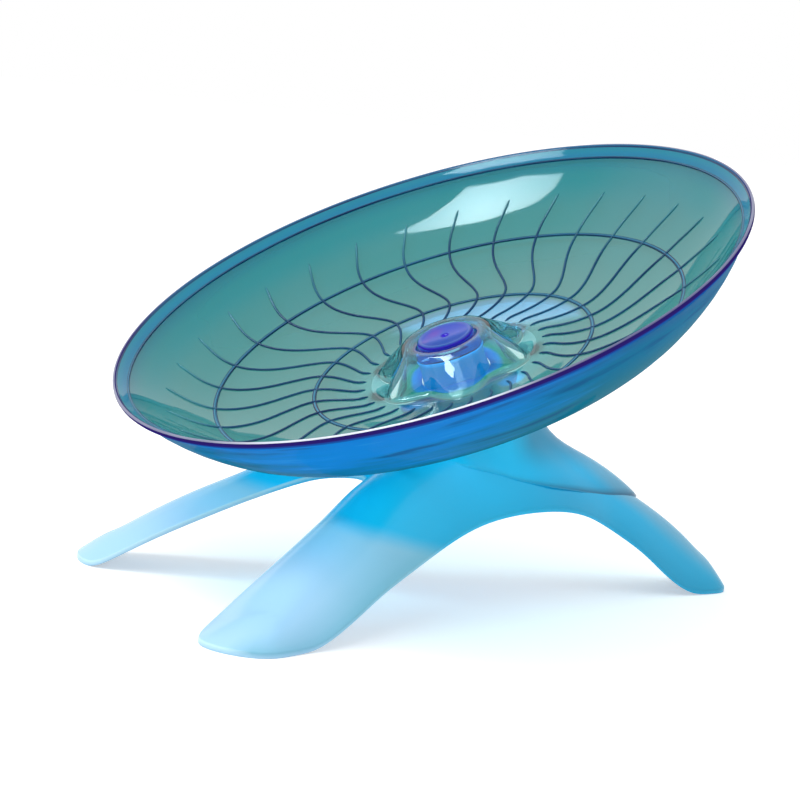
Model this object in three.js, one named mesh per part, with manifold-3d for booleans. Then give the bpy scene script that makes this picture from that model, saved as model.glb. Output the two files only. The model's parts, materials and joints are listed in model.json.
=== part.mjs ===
// Flying saucer wheel for a small pet: a shallow clear dish that spins on a ball bearing,
// carried aslant by a moulded stand with two front legs and one rear leg.
// Millimetres, +Z up. The dish leans towards -X, over the notch between the front legs.
import * as THREE from 'three';
import { mergeVertices } from 'three/addons/utils/BufferGeometryUtils.js';
import Module from 'manifold-3d';

const wasm = await Module();
wasm.setup();

const DEG = Math.PI / 180;
const TURN = 2 * Math.PI;
const HALF = 1 / 2;

// Driving dimensions of the dish
const dishRadius = 90;
const dishTilt = 28.4 * DEG;
const dishDepth = 26.4;
const dishWall = 2.3;
const rimBead = 2.7;
const ribCount = 30;
const ribWidth = 1.3;
const ribHeight = 0.6;
const ribInnerRadius = 25.5;
const ribOuterRadius = 78.5;
const ribPhase = 5 * DEG;
const outerRingRadius = 66.8;
const innerRingRadius = 39.9;

// Driving dimensions of the hub in the middle of the dish
const hubTopRadius = 12.9;
const hubTopDrop = 17.6;
const hubWall = 1.4;
const hubValleyRadius = 16.5;
const hubLobeRadius = 22.2;
const lobeCount = 6;
const capRadius = 7.55;
const capRise = 0.5;
const capWall = 1.2;
const capSkirt = 3;
const capDimpleRadius = 1;
const wellFloor = 1.2;

// Driving dimensions of the bearing and its screw
const bearingRadius = 8;
const bearingBoreRadius = 2.5;
const bearingWidth = 5;
const ballCount = 7;
const ballRadius = 1.3;
const raceWall = 1.5;
const shieldThickness = 0.35;
const cageWall = 1.1;
const cageFloor = 0.35;
const spacerHeight = 0.8;
const spacerWall = 0.9;
const screwHeadRadius = 4.2;
const screwHeadHeight = 1.2;
const screwRecessWidth = 1;
const screwRecessDepth = 0.7;
const washerThickness = 0.8;
const nutHeight = 3.2;
const nutRadius = 4;

// Driving dimensions of the stand
const pivotHeight = 52.1;
const rimAbovePivot = 42;
const legReach = 104;
const nearLegReach = 108;
const rearLegReach = 102;
const legSpread = 27.5 * DEG;
const crownHeight = 47;
const frontHalfWidth = 14;
const rearHalfWidth = 12;
const hubHalfWidth = 21;
const crotchReach = 33;
const sheetThickness = 2.6;
const cupWall = 1.2;
const cupShelfRadius = 6.4;
const hollowRadius = 12;
const creaseStep = 0.6;

// Clearances
const seatGap = 0.3;
const trackGap = 0.25;
const overrun = 1;

const plastic = (name, color, roughness, opacity = 1) => new THREE.MeshStandardMaterial({
  name,
  color,
  roughness,
  metalness: 0,
  opacity,
  transparent: opacity < 1,
});
const metal = (name, color, roughness) => new THREE.MeshStandardMaterial({
  name,
  color,
  roughness,
  metalness: 1,
});
const materials = {
  dish: plastic('clear_teal', 0x3f9aa0, 0.08, 0.6),
  cap: plastic('violet_cap', 0x5a55c4, 0.2),
  stand: plastic('cyan_stand', 0x37bdf2, 0.25),
  race: metal('bearing_steel', 0xb9bcc0, 0.25),
  ball: metal('ball_steel', 0xd4d6d8, 0.1),
  cage: plastic('cage_nylon', 0xe6e2d2, 0.5),
  fastener: metal('zinc_steel', 0x9fa3a8, 0.35),
};

// Solids

// A geometry reduced to merged positions, which is what a closed solid needs.
const bare = (geometry) => {
  const copy = geometry.clone();
  copy.deleteAttribute('normal');
  copy.deleteAttribute('uv');
  return mergeVertices(copy, 1e-4);
};

// The same solid with its faces turned outwards, if they point in.
const facingOut = (geometry) => {
  const position = geometry.getAttribute('position');
  const index = Array.from(geometry.getIndex().array);
  const [a, b, c] = [new THREE.Vector3(), new THREE.Vector3(), new THREE.Vector3()];
  let volume = 0;
  for (let i = 0; i < index.length; i += 3) {
    a.fromBufferAttribute(position, index[i]);
    b.fromBufferAttribute(position, index[i + 1]);
    c.fromBufferAttribute(position, index[i + 2]);
    volume += a.dot(b.cross(c));
  }
  if (volume < 0) index.reverse();
  geometry.setIndex(index);
  return geometry;
};

const solid = (geometry) => {
  const closed = facingOut(bare(geometry));
  return new wasm.Manifold(new wasm.Mesh({
    numProp: 3,
    vertProperties: Float32Array.from(closed.getAttribute('position').array),
    triVerts: Uint32Array.from(closed.getIndex().array),
  }));
};

const geometryOf = (manifold) => {
  const mesh = manifold.getMesh();
  const geometry = new THREE.BufferGeometry();
  geometry.setAttribute('position', new THREE.BufferAttribute(mesh.vertProperties, 3));
  geometry.setIndex(new THREE.BufferAttribute(mesh.triVerts, 1));
  return geometry;
};

// A surface through a list of rings of points. Neighbouring rings have as many points,
// or one has twice as many as the other. Ends are capped by fans, or the last ring
// meets the first one.
const ringLoft = (rings, closed = false) => {
  const points = rings.flat();
  const starts = [];
  let count = 0;
  for (const ring of rings) {
    starts.push(count);
    count += ring.length;
  }
  const index = [];
  const face = (a, b, c) => {
    const [p, q, r] = [points[a], points[b], points[c]];
    const same = p.equals(q) || q.equals(r) || r.equals(p);
    if (!same) index.push(a, b, c);
  };
  const join = (i, j) => {
    const [n, m] = [rings[i].length, rings[j].length];
    const at = (ring, k) => starts[ring] + (k % rings[ring].length);
    const wide = Math.max(n, m);
    for (let k = 0; k < wide; k += wide / Math.min(n, m)) {
      if (n === m) {
        face(at(i, k), at(i, k + 1), at(j, k));
        face(at(i, k + 1), at(j, k + 1), at(j, k));
      } else if (n > m) {
        face(at(i, k), at(i, k + 1), at(j, k / 2));
        face(at(i, k + 1), at(i, k + 2), at(j, k / 2 + 1));
        face(at(i, k + 1), at(j, k / 2 + 1), at(j, k / 2));
      } else {
        face(at(i, k / 2), at(j, k + 1), at(j, k));
        face(at(i, k / 2 + 1), at(j, k + 2), at(j, k + 1));
        face(at(i, k / 2), at(i, k / 2 + 1), at(j, k + 1));
      }
    }
  };
  for (let i = 0; i + 1 < rings.length; i += 1) join(i, i + 1);
  if (closed) join(rings.length - 1, 0);
  else {
    const fan = (ring, flip) => {
      const middle = new THREE.Vector3();
      for (const point of rings[ring]) middle.add(point);
      points.push(middle.divideScalar(rings[ring].length));
      const centre = points.length - 1;
      for (let k = 0; k < rings[ring].length; k += 1) {
        const [a, b] = [starts[ring] + k, starts[ring] + ((k + 1) % rings[ring].length)];
        if (flip) face(centre, b, a);
        else face(centre, a, b);
      }
    };
    fan(0, true);
    fan(rings.length - 1, false);
  }
  const geometry = new THREE.BufferGeometry().setFromPoints(points);
  geometry.setIndex(index);
  return geometry;
};

// A turned solid about Z from a profile of [radius, height] that closes on itself.
const turned = (profile, segments) => {
  const loop = [...profile, profile[0]].map(([r, z]) => new THREE.Vector2(r, z));
  const geometry = new THREE.LatheGeometry(loop, segments);
  return facingOut(bare(geometry.rotateX(Math.PI * HALF)));
};

const cylinder = (radius, bottom, top, segments) => {
  const geometry = new THREE.CylinderGeometry(radius, radius, top - bottom, segments);
  return geometry.rotateX(Math.PI * HALF).translate(0, 0, (top + bottom) * HALF);
};

const smoothTable = (rows) => (x) => {
  let i = 0;
  while (i < rows.length - 2 && x > rows[i + 1][0]) i += 1;
  const [[x0, y0], [x1, y1]] = [rows[i], rows[i + 1]];
  const slope = (a, b) => (b[1] - a[1]) / (b[0] - a[0]);
  const before = i > 0 ? slope(rows[i - 1], rows[i]) : slope(rows[i], rows[i + 1]);
  const here = slope(rows[i], rows[i + 1]);
  const after = i < rows.length - 2 ? slope(rows[i + 1], rows[i + 2]) : here;
  const width = x1 - x0;
  const t = Math.min(Math.max((x - x0) / width, 0), 1);
  const [m0, m1] = [(before + here) * HALF, (here + after) * HALF];
  const [t2, t3] = [t * t, t * t * t];
  return (2 * t3 - 3 * t2 + 1) * y0 + (t3 - 2 * t2 + t) * width * m0
    + (3 * t2 - 2 * t3) * y1 + (t3 - t2) * width * m1;
};

// Stations along the spin axis, in the dish's own frame: zero is the rim's top plane.
const capTop = -hubTopDrop + capRise;
const capRoof = capTop - capWall;
const capFoot = -hubTopDrop - capSkirt + capRise;
const wellTop = capFoot - seatGap;
const wellBottom = wellTop - wellFloor;
const spacerTop = wellBottom - seatGap;
const bearingTop = spacerTop - spacerHeight - seatGap;
const bearingMiddle = bearingTop - bearingWidth * HALF;
const bearingBottom = bearingTop - bearingWidth;
const washerTop = bearingBottom - seatGap;
const nutTop = washerTop - washerThickness - seatGap;
const nutBottom = nutTop - nutHeight;
const cupTop = wellBottom - 2 * seatGap;
const cupShelf = bearingBottom - seatGap;

// Radii that follow from the bearing
const shankRadius = bearingBoreRadius - seatGap;
const pitchRadius = (bearingRadius + bearingBoreRadius) * HALF;
const innerRaceRadius = bearingBoreRadius + raceWall;
const outerRaceBore = bearingRadius - raceWall;
const cupBore = bearingRadius + seatGap;
const cupRadius = cupBore + cupWall;
const wellRadius = capRadius + seatGap;
const screwHole = shankRadius + seatGap;

// The dish's walls, as shares of its radius and its depth
const innerWallShares = [
  [0.25, 1],
  [0.34, 0.99],
  [0.443, 0.945],
  [0.52, 0.915],
  [0.6, 0.868],
  [0.68, 0.793],
  [0.742, 0.712],
  [0.8, 0.595],
  [0.85, 0.465],
  [0.9, 0.31],
  [0.94, 0.175],
  [0.97, 0.076],
];
const outerWallShares = [
  [0.17, 0],
  [0.3, 0.3],
  [0.47, 0.8],
  [0.62, 1.5],
  [0.73, 2],
  [0.83, 2.1],
  [0.91, 1.4],
  [0.97, 0.1],
];
const innerDrop = smoothTable(innerWallShares);
const outerSag = smoothTable(outerWallShares);
const innerHeight = (radius) => -dishDepth * innerDrop(radius / dishRadius);
const outerHeight = (radius) => innerHeight(radius) - dishWall - outerSag(radius / dishRadius);

// How far each rib swings round, in degrees, at shares of the rib's own length
const ribSwingShares = [
  [0, 0],
  [0.045, -0.9],
  [0.11, -5.2],
  [0.18, -8.6],
  [0.25, -10.1],
  [0.32, -9.8],
  [0.4, -7.6],
  [0.49, -4.6],
  [0.58, -2],
  [0.68, -0.3],
  [0.78, 0],
  [0.86, -0.7],
  [0.94, -2.3],
  [1, -3.6],
];
const swing = smoothTable(ribSwingShares);
const ribLength = ribOuterRadius - ribInnerRadius;
const ribAngle = (radius) => ribPhase + swing((radius - ribInnerRadius) / ribLength) * DEG;

const wallColumns = 60;
const ribColumns = 4 * ribCount;
const plainRing = (radius, height, columns = wallColumns) => {
  const ring = [];
  for (let k = 0; k < columns; k += 1) {
    const angle = (k / columns) * TURN;
    const reach = typeof radius === 'function' ? radius(angle) : radius;
    ring.push(new THREE.Vector3(reach * Math.cos(angle), reach * Math.sin(angle), height));
  }
  return ring;
};

// A ring across the ribs: each rib has two feet, a crest and the floor halfway to the next.
const ribbedRing = (radius, rise, raised) => {
  const ring = [];
  const foot = (ribWidth * HALF) / radius;
  const pitch = TURN / ribCount;
  const floor = innerHeight(radius);
  for (let k = 0; k < ribCount; k += 1) {
    const angle = k * pitch + ribAngle(radius);
    const columns = [[-foot, raised], [0, Math.max(rise, raised)], [foot, raised], [pitch * HALF, raised]];
    for (const [turn, lift] of columns) {
      const x = radius * Math.cos(angle + turn);
      const y = radius * Math.sin(angle + turn);
      ring.push(new THREE.Vector3(x, y, floor + lift));
    }
  }
  return ring;
};

// The lobed foot of the hub bell
const lobeSwell = (angle) => {
  const wave = HALF + Math.cos(lobeCount * angle) * HALF;
  return wave ** 0.8;
};
const lobedRadius = (share, wall) => (angle) => {
  const foot = hubValleyRadius + (hubLobeRadius - hubValleyRadius) * lobeSwell(angle);
  return hubTopRadius + (foot - hubTopRadius) * share - wall;
};
const bellShares = [[0, 0], [0.12, 0.16], [0.35, 0.42], [0.62, 0.7], [0.85, 0.9], [1, 1]];
const bellBottom = innerHeight(hubLobeRadius);

const makeDish = () => {
  const rings = [];
  // Screw hole, cap well and top plate
  rings.push(plainRing(screwHole, wellBottom, wallColumns / 2));
  rings.push(plainRing(screwHole, wellTop, wallColumns / 2));
  rings.push(plainRing(wellRadius, wellTop));
  rings.push(plainRing(wellRadius, -hubTopDrop - capRise * HALF));
  rings.push(plainRing(wellRadius + capRise * HALF, -hubTopDrop));
  rings.push(plainRing(hubTopRadius - hubWall * HALF, -hubTopDrop));
  // Outside of the bell, down to the dish floor
  for (const [height, reach] of bellShares) {
    const drop = (-hubTopDrop - capRise) * (1 - height) + bellBottom * height;
    rings.push(plainRing(lobedRadius(reach ** 1.1, 0), drop));
  }
  // Floor with its ribs and two ring ribs
  const ringRib = (radius) => [
    [radius - ribWidth * HALF, ribHeight, 0],
    [radius, ribHeight, ribHeight],
    [radius + ribWidth * HALF, ribHeight, 0],
  ];
  const step = ribLength / 12;
  const plainStation = (share) => [ribInnerRadius + share * step, ribHeight, 0];
  const stations = [
    [ribInnerRadius, 0, 0],
    [ribInnerRadius + ribWidth, ribHeight, 0],
    plainStation(1),
    plainStation(2.1),
    ...ringRib(innerRingRadius),
    plainStation(4.2),
    plainStation(5.3),
    plainStation(6.6),
    plainStation(7.9),
    ...ringRib(outerRingRadius),
    plainStation(10.6),
    [ribOuterRadius - ribWidth, ribHeight, 0],
    [ribOuterRadius, 0, 0],
  ];
  for (const [radius, rise, raised] of stations) rings.push(ribbedRing(radius, rise, raised));
  // Wall up to the rim, the rolled rim, and the outside of the wall
  const lip = dishRadius - rimBead;
  const lipHeight = innerHeight(lip);
  rings.push(plainRing((ribOuterRadius + lip) * HALF, innerHeight((ribOuterRadius + lip) * HALF)));
  rings.push(plainRing(lip, lipHeight));
  rings.push(plainRing(lip + rimBead * 0.1, lipHeight * 0.35));
  rings.push(plainRing(lip + rimBead * 0.4, 0));
  rings.push(plainRing(dishRadius - rimBead * 0.2, 0));
  rings.push(plainRing(dishRadius, -rimBead * 0.15));
  rings.push(plainRing(dishRadius - rimBead * 0.4, -rimBead * 0.6));
  rings.push(plainRing(dishRadius - rimBead * 1.1, -rimBead * 1.35));
  for (const share of [0.94, 0.88, 0.81, 0.72, 0.62, 0.5, 0.38]) {
    rings.push(plainRing(dishRadius * share, outerHeight(dishRadius * share)));
  }
  rings.push(plainRing(lobedRadius(1, -hubWall * HALF), outerHeight(hubLobeRadius + hubWall * HALF)));
  // Inside of the bell and the underside of the well
  rings.push(plainRing(lobedRadius(1, hubWall), outerHeight(hubLobeRadius)));
  rings.push(plainRing(lobedRadius(0.72, hubWall), bellBottom * 0.7 - hubTopDrop * 0.3 - hubWall * HALF));
  rings.push(plainRing(lobedRadius(0.35, hubWall), bellBottom * 0.3 - hubTopDrop * 0.7 - hubWall * HALF));
  rings.push(plainRing(hubTopRadius - hubWall, -hubTopDrop - hubWall));
  rings.push(plainRing(wellRadius + hubWall * HALF, -hubTopDrop - hubWall));
  rings.push(plainRing(wellRadius + hubWall * HALF, wellBottom));
  return facingOut(bare(ringLoft(rings, true)));
};

// Hub cap: a shallow cup with a raised edge and a small dimple
const makeCap = () => {
  const inside = capRadius - capWall;
  const edge = capRise * HALF;
  return turned([
    [0, capTop - edge * 2],
    [capDimpleRadius, capTop - edge * 2],
    [capDimpleRadius + edge, capTop - edge],
    [capRadius - 4 * edge, capTop - edge],
    [capRadius - 3 * edge, capTop],
    [capRadius - edge, capTop],
    [capRadius, capTop - edge],
    [capRadius, capFoot],
    [inside, capFoot],
    [inside, capRoof - edge],
    [0, capRoof - edge],
  ], 20);
};

// Bearing
const raceGroove = (radius, depth, side) => {
  const half = ballRadius * 0.8;
  return [
    [radius, bearingMiddle + side * half],
    [radius + depth, bearingMiddle + side * half * HALF],
    [radius + depth, bearingMiddle - side * half * HALF],
    [radius, bearingMiddle - side * half],
  ];
};
const outerTrack = pitchRadius + ballRadius + trackGap;
const innerTrack = pitchRadius - ballRadius - trackGap;
const makeOuterRace = () => turned([
  [bearingRadius, bearingBottom],
  [bearingRadius, bearingTop],
  [outerRaceBore, bearingTop],
  ...raceGroove(outerRaceBore, outerTrack - outerRaceBore, 1),
  [outerRaceBore, bearingBottom],
], 24);
const makeInnerRace = () => turned([
  [bearingBoreRadius, bearingTop],
  [bearingBoreRadius, bearingBottom],
  [innerRaceRadius, bearingBottom],
  ...raceGroove(innerRaceRadius, innerTrack - innerRaceRadius, -1),
  [innerRaceRadius, bearingTop],
], 24);
const shieldInside = innerRaceRadius + seatGap;
const shieldOutside = outerRaceBore - seatGap;
const makeShield = (outer) => turned([
  [shieldInside, outer],
  [shieldOutside, outer],
  [shieldOutside, outer - shieldThickness],
  [shieldInside, outer - shieldThickness],
], 24);
const cageBottom = bearingMiddle - ballRadius - seatGap - cageFloor;
const cageTop = bearingMiddle + ballRadius * 0.3;
const ballPlace = (k) => {
  const angle = (k / ballCount) * TURN;
  return [pitchRadius * Math.cos(angle), pitchRadius * Math.sin(angle), bearingMiddle];
};
const makeCage = () => {
  const [near, far] = [pitchRadius - cageWall * HALF, pitchRadius + cageWall * HALF];
  let cage = solid(turned([
    [near, cageBottom],
    [far, cageBottom],
    [far, cageTop],
    [near, cageTop],
  ], 4 * ballCount));
  for (let k = 0; k < ballCount; k += 1) {
    const pocket = new THREE.SphereGeometry(ballRadius + seatGap, 8, 6).translate(...ballPlace(k));
    cage = cage.subtract(solid(pocket));
  }
  return geometryOf(cage);
};

// Screw, spacer, washer and nut
const makeScrew = () => {
  const headBottom = wellTop + seatGap;
  const head = headBottom + screwHeadHeight;
  const shank = solid(turned([
    [0, nutBottom - shankRadius * HALF],
    [shankRadius * HALF, nutBottom - shankRadius * HALF],
    [shankRadius, nutBottom],
    [shankRadius, headBottom],
    [screwHeadRadius, headBottom],
    [screwHeadRadius * 0.92, head - screwHeadHeight * 0.3],
    [screwHeadRadius * 0.6, head],
    [0, head],
  ], 20));
  const slotLength = screwHeadRadius;
  const slot = (x, y) => solid(new THREE.BoxGeometry(x, y, 2 * screwRecessDepth).translate(0, 0, head));
  const cross = slot(slotLength, screwRecessWidth).add(slot(screwRecessWidth, slotLength));
  return geometryOf(shank.subtract(cross));
};
const makeSleeve = (near, far, bottom, top, segments) => turned([
  [near, bottom],
  [far, bottom],
  [far, top],
  [near, top],
], segments);
const makeSpacer = () => {
  const near = shankRadius + seatGap;
  return makeSleeve(near, near + spacerWall, spacerTop - spacerHeight, spacerTop, 18);
};
const makeWasher = () => {
  const near = shankRadius + seatGap;
  return makeSleeve(near, innerRaceRadius, washerTop - washerThickness, washerTop, 18);
};
const makeNut = () => {
  const body = solid(cylinder(nutRadius, nutBottom, nutTop, 6));
  const hole = solid(cylinder(shankRadius + seatGap, nutBottom - overrun, nutTop + overrun, 20));
  return geometryOf(body.subtract(hole));
};

// Stand: a bent sheet with three legs, and a neck with the bearing cup

// Each leg by stations: distance from the middle as a share of the reach, crown height,
// then height and half width of the low edge on its left and on its right, looking outwards.
// Heights are shares of the crown height, half widths of that leg's own half width.
const nearLegShares = [
  [0.404, 0.84, 0.368, 0.964, 0.621, 0.9],
  [0.51, 0.713, 0.302, 0.943, 0.525, 0.829],
  [0.596, 0.602, 0.247, 0.929, 0.44, 0.85],
  [0.673, 0.515, 0.181, 0.921, 0.351, 0.907],
  [0.75, 0.417, 0.098, 0.857, 0.255, 0.993],
  [0.827, 0.306, 0.006, 0.7, 0.144, 1.121],
  [0.894, 0.202, 0, 0.571, 0.046, 1.221],
];
const farLegShares = [
  [0.404, 0.84, 0.666, 0.9, 0.596, 0.93],
  [0.51, 0.713, 0.557, 0.857, 0.511, 0.9],
  [0.596, 0.602, 0.464, 0.857, 0.426, 0.87],
  [0.673, 0.515, 0.372, 0.857, 0.34, 0.86],
  [0.75, 0.417, 0.279, 0.857, 0.251, 0.86],
  [0.827, 0.306, 0.179, 0.857, 0.16, 0.86],
  [0.894, 0.202, 0.079, 0.8, 0.064, 0.82],
];
const rearLegShares = [
  [0.346, 0.83, 0.62, 1.15, 0.543, 1.25],
  [0.442, 0.77, 0.6, 0.92, 0.453, 1.03],
  [0.519, 0.706, 0.55, 0.8, 0.368, 1],
  [0.596, 0.63, 0.47, 0.73, 0.275, 0.975],
  [0.673, 0.545, 0.38, 0.7, 0.153, 0.94],
  [0.74, 0.465, 0.29, 0.7, 0.062, 0.917],
  [0.808, 0.37, 0.19, 0.7, 0, 0.892],
  [0.875, 0.255, 0.09, 0.7, 0, 0.85],
];
// Arch between a front leg and the rear leg: share of the reach along X, of the hub's half
// width, and of the crown height on the near side and on the far side
const archShares = [
  [-0.192, 1.31, 0.468, 0.57],
  [-0.077, 1.12, 0.543, 0.59],
  [0.038, 1, 0.581, 0.6],
  [0.144, 0.93, 0.596, 0.6],
  [0.25, 0.833, 0.587, 0.587],
];
// Notch between the front legs: shares of its reach along X and across, and of the crown height
const notchShares = [
  [-1.1, -0.183, 0.68],
  [-1.026, -0.096, 0.691],
  [-1, 0, 0.694],
  [-1.026, 0.096, 0.691],
  [-1.1, 0.183, 0.68],
];
const toePower = 1.15;
const toeAngles = [1, 2, 3, 4, 5].map((k) => (k / 6) * Math.PI);

// One sample of the sheet: its edge point, edge height, spine point, crown height and bend,
// and whether its underside rests on the table
const sample = (edge, edgeHeight, spine, crown, power, resting = false) => (
  { edge, edgeHeight, spine, crown, power, resting }
);
const along = (direction, distance, offset) => {
  const across = new THREE.Vector2(-direction.y, direction.x);
  return direction.clone().multiplyScalar(distance).addScaledVector(across, offset);
};

// The samples round one leg: out along its right edge, round the toe and back on its left.
// The toe's end runs askew by the given slope.
const legSamples = ({ direction, rows, halfWidth, reach, slope, powers }) => {
  const samples = [];
  const side = (row, sign) => {
    const [height, width] = sign > 0 ? [row[2], row[3]] : [row[4], row[5]];
    const distance = row[0] * legReach;
    const edge = along(direction, distance, sign * width * halfWidth);
    const spine = along(direction, distance, 0);
    const power = sign > 0 ? powers[1] : powers[0];
    samples.push(sample(edge, height * crownHeight, spine, row[1] * crownHeight, power));
  };
  for (const row of rows) side(row, -1);
  const [start, crown, , leftWidth, , rightWidth] = rows[rows.length - 1];
  const tip = reach - start * legReach;
  const offset = (leftWidth - rightWidth) * halfWidth * HALF;
  const half = (leftWidth + rightWidth) * halfWidth * HALF;
  for (const angle of toeAngles) {
    const share = angle / Math.PI;
    const [sine, cosine] = [Math.sin(angle) ** 0.8, Math.abs(Math.cos(angle)) ** 0.8];
    const across = -half * Math.sign(Math.cos(angle)) * cosine;
    const edge = along(direction, start * legReach + tip * sine - slope * across * sine, offset + across);
    const spine = along(direction, start * legReach, offset * sine);
    const sidePower = powers[0] * (1 - share) + powers[1] * share;
    const power = sidePower * (1 - sine) + toePower * sine;
    samples.push(sample(edge, 0, spine, crown * crownHeight, power, true));
  }
  for (const row of [...rows].reverse()) side(row, 1);
  return samples;
};

const sheetSamples = () => {
  const middle = new THREE.Vector2(0, 0);
  const nearFront = new THREE.Vector2(-Math.cos(legSpread), -Math.sin(legSpread));
  const farFront = new THREE.Vector2(-Math.cos(legSpread), Math.sin(legSpread));
  const back = new THREE.Vector2(1, 0);
  const arch = (sign, rows) => rows.map(([x, y, near, far]) => {
    const edge = new THREE.Vector2(x * legReach, sign * y * hubHalfWidth);
    const height = sign > 0 ? far : near;
    return sample(edge, height * crownHeight, middle, crownHeight, 1.9);
  });
  const notch = notchShares.map(([x, y, z]) => {
    const edge = new THREE.Vector2(x * crotchReach, -y * crotchReach);
    return sample(edge, z * crownHeight, middle, crownHeight, 2);
  });
  return [
    ...legSamples({
      direction: back,
      rows: rearLegShares,
      halfWidth: rearHalfWidth,
      reach: rearLegReach,
      slope: 0,
      powers: [2.8, 2.2],
    }),
    ...arch(1, [...archShares].reverse()),
    ...legSamples({
      direction: farFront,
      rows: farLegShares,
      halfWidth: frontHalfWidth,
      reach: legReach,
      slope: 0.1,
      powers: [2, 2],
    }),
    ...notch,
    ...legSamples({
      direction: nearFront,
      rows: nearLegShares,
      halfWidth: frontHalfWidth,
      reach: nearLegReach,
      slope: 0.15,
      powers: [2, 1.9],
    }),
    ...arch(-1, archShares),
  ];
};

const sheetRows = [0, 0.3, 0.6, 0.85, 1];

// A bent sheet from samples: the crowned top and the underside one thickness below it. The
// toes are solid down to the table. Also the room below its middle surface.
const bentSheet = (samples, thickness) => {
  const top = sheetRows.map((u) => samples.map((s) => {
    const place = s.spine.clone().lerp(s.edge, u);
    const edgeTop = s.edgeHeight + thickness;
    const height = s.crown - (s.crown - edgeTop) * u ** s.power;
    return new THREE.Vector3(place.x, place.y, height);
  }));
  const under = [...top].reverse().map((ring, row) => ring.map((p, i) => {
    const solidToe = row < sheetRows.length - 1 && samples[i].resting;
    return new THREE.Vector3(p.x, p.y, solidToe ? 0 : Math.max(p.z - thickness, 0));
  }));
  const below = (ring, drop) => ring.map((p) => new THREE.Vector3(p.x, p.y, p.z - drop));
  const room = [...top].reverse().map((ring) => below(ring, thickness * HALF));
  const floor = sheetRows.map((u, i) => below(top[i], thickness + crownHeight));
  return { sheet: solid(ringLoft([...top, ...under])), room: solid(ringLoft([...floor, ...room])) };
};

// A ring about the spin axis at a height along it, with a share of the dish's tilt
const neckColumns = 30;
const tilted = (height, tiltShare, radius) => {
  const angle = -dishTilt * tiltShare;
  const centre = new THREE.Vector3(0, 0, height + rimAbovePivot);
  centre.applyAxisAngle(new THREE.Vector3(0, 1, 0), -dishTilt);
  centre.add(new THREE.Vector3(0, 0, pivotHeight));
  const ring = [];
  for (let k = 0; k < neckColumns; k += 1) {
    const turn = (k / neckColumns) * TURN;
    const point = new THREE.Vector3(radius * Math.cos(turn), radius * Math.sin(turn), 0);
    point.applyAxisAngle(new THREE.Vector3(0, 1, 0), angle);
    ring.push(point.add(centre));
  }
  return ring;
};

// Where the neck's skin lies on the sheet, on one side, from the rear tip round to the front:
// share of the way round, then of the reach along X, of the hub's half width and of the crown
const creaseShares = [
  [0, 0.637, 0, 0.587],
  [0.06, 0.6, 0.157, 0.609],
  [0.13, 0.51, 0.329, 0.632],
  [0.21, 0.425, 0.448, 0.653],
  [0.3, 0.317, 0.61, 0.696],
  [0.39, 0.214, 0.719, 0.73],
  [0.48, 0.144, 0.738, 0.757],
  [0.56, 0.079, 0.733, 0.781],
  [0.64, 0.022, 0.7, 0.813],
  [0.74, -0.107, 0.667, 0.862],
  [0.82, -0.173, 0.571, 0.896],
  [0.91, -0.212, 0.333, 0.915],
  [1, -0.226, 0, 0.87],
];
// Rings of that skin, from the cup down to the crease: how far each has gone outwards and
// how far down, first on the rear ridge and then on the sides and the front
const skinShares = [
  [0.12, 0.08, 0.1, 0.16],
  [0.26, 0.24, 0.2, 0.33],
  [0.37, 0.42, 0.31, 0.5],
  [0.45, 0.53, 0.43, 0.65],
  [0.56, 0.61, 0.56, 0.78],
  [0.7, 0.7, 0.7, 0.88],
  [0.86, 0.84, 0.85, 0.95],
  [1, 1, 1, 1],
];
const creaseAt = [1, 2, 3].map((column) => smoothTable(creaseShares.map((row) => [row[0], row[column]])));

// The neck: a round cup above, and below it a skin that flares out over the sheet, with a
// long ridge down the rear leg
const makeNeck = () => {
  const foot = tilted(nutBottom, 1, cupRadius);
  const crease = foot.map((_, k) => {
    const turn = (2 * k) / neckColumns;
    const [x, y, z] = creaseAt.map((read) => read(Math.min(turn, 2 - turn)));
    const side = turn > 1 ? -hubHalfWidth : hubHalfWidth;
    return new THREE.Vector3(x * legReach, y * side, z * crownHeight);
  });
  const rearness = (k) => (HALF + Math.cos((k / neckColumns) * TURN) * HALF) ** 2;
  const mixed = (a, b, k) => a * rearness(k) + b * (1 - rearness(k));
  const skin = skinShares.map(([rearOut, rearDown, sideOut, sideDown]) => foot.map((from, k) => {
    const to = crease[k];
    const out = mixed(rearOut, sideOut, k);
    const down = mixed(rearDown, sideDown, k);
    const step = creaseStep * rearness(k) * down;
    return new THREE.Vector3(
      from.x + (to.x - from.x) * out,
      from.y + (to.y - from.y) * out,
      from.z + (to.z - from.z) * down + step,
    );
  }));
  const sunk = crease.map((p) => new THREE.Vector3(p.x, p.y, p.z - 2 * sheetThickness));
  return solid(ringLoft([
    tilted(cupTop, 1, cupRadius),
    tilted(cupShelf, 1, cupRadius),
    foot,
    ...skin,
    sunk,
  ]));
};

// The hollow below the bearing: share of the way from the rim's middle down to the pivot, how
// much of the dish's tilt it has, and its radius as a share of the hollow's widest
const hollowShares = [
  [0.88, 0.8, 0.62],
  [1, 0.4, 0.78],
  [1.12, 0, 0.95],
  [1.3, 0, 1],
  [1.5, 0, 1],
];
const makeNeckHollow = () => solid(ringLoft([
  tilted(cupShelf + overrun, 1, cupShelfRadius),
  tilted(nutBottom, 1, cupShelfRadius),
  ...hollowShares.map(([down, tilt, radius]) => tilted(-rimAbovePivot * down, tilt, radius * hollowRadius)),
]));
const makeCupBore = () => solid(ringLoft([
  tilted(cupTop + overrun, 1, cupBore),
  tilted(cupShelf, 1, cupBore),
]));

const makeStand = () => {
  const { sheet, room } = bentSheet(sheetSamples(), sheetThickness);
  const body = sheet.add(makeNeck().subtract(room));
  return geometryOf(body.subtract(makeNeckHollow()).subtract(makeCupBore()));
};

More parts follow.
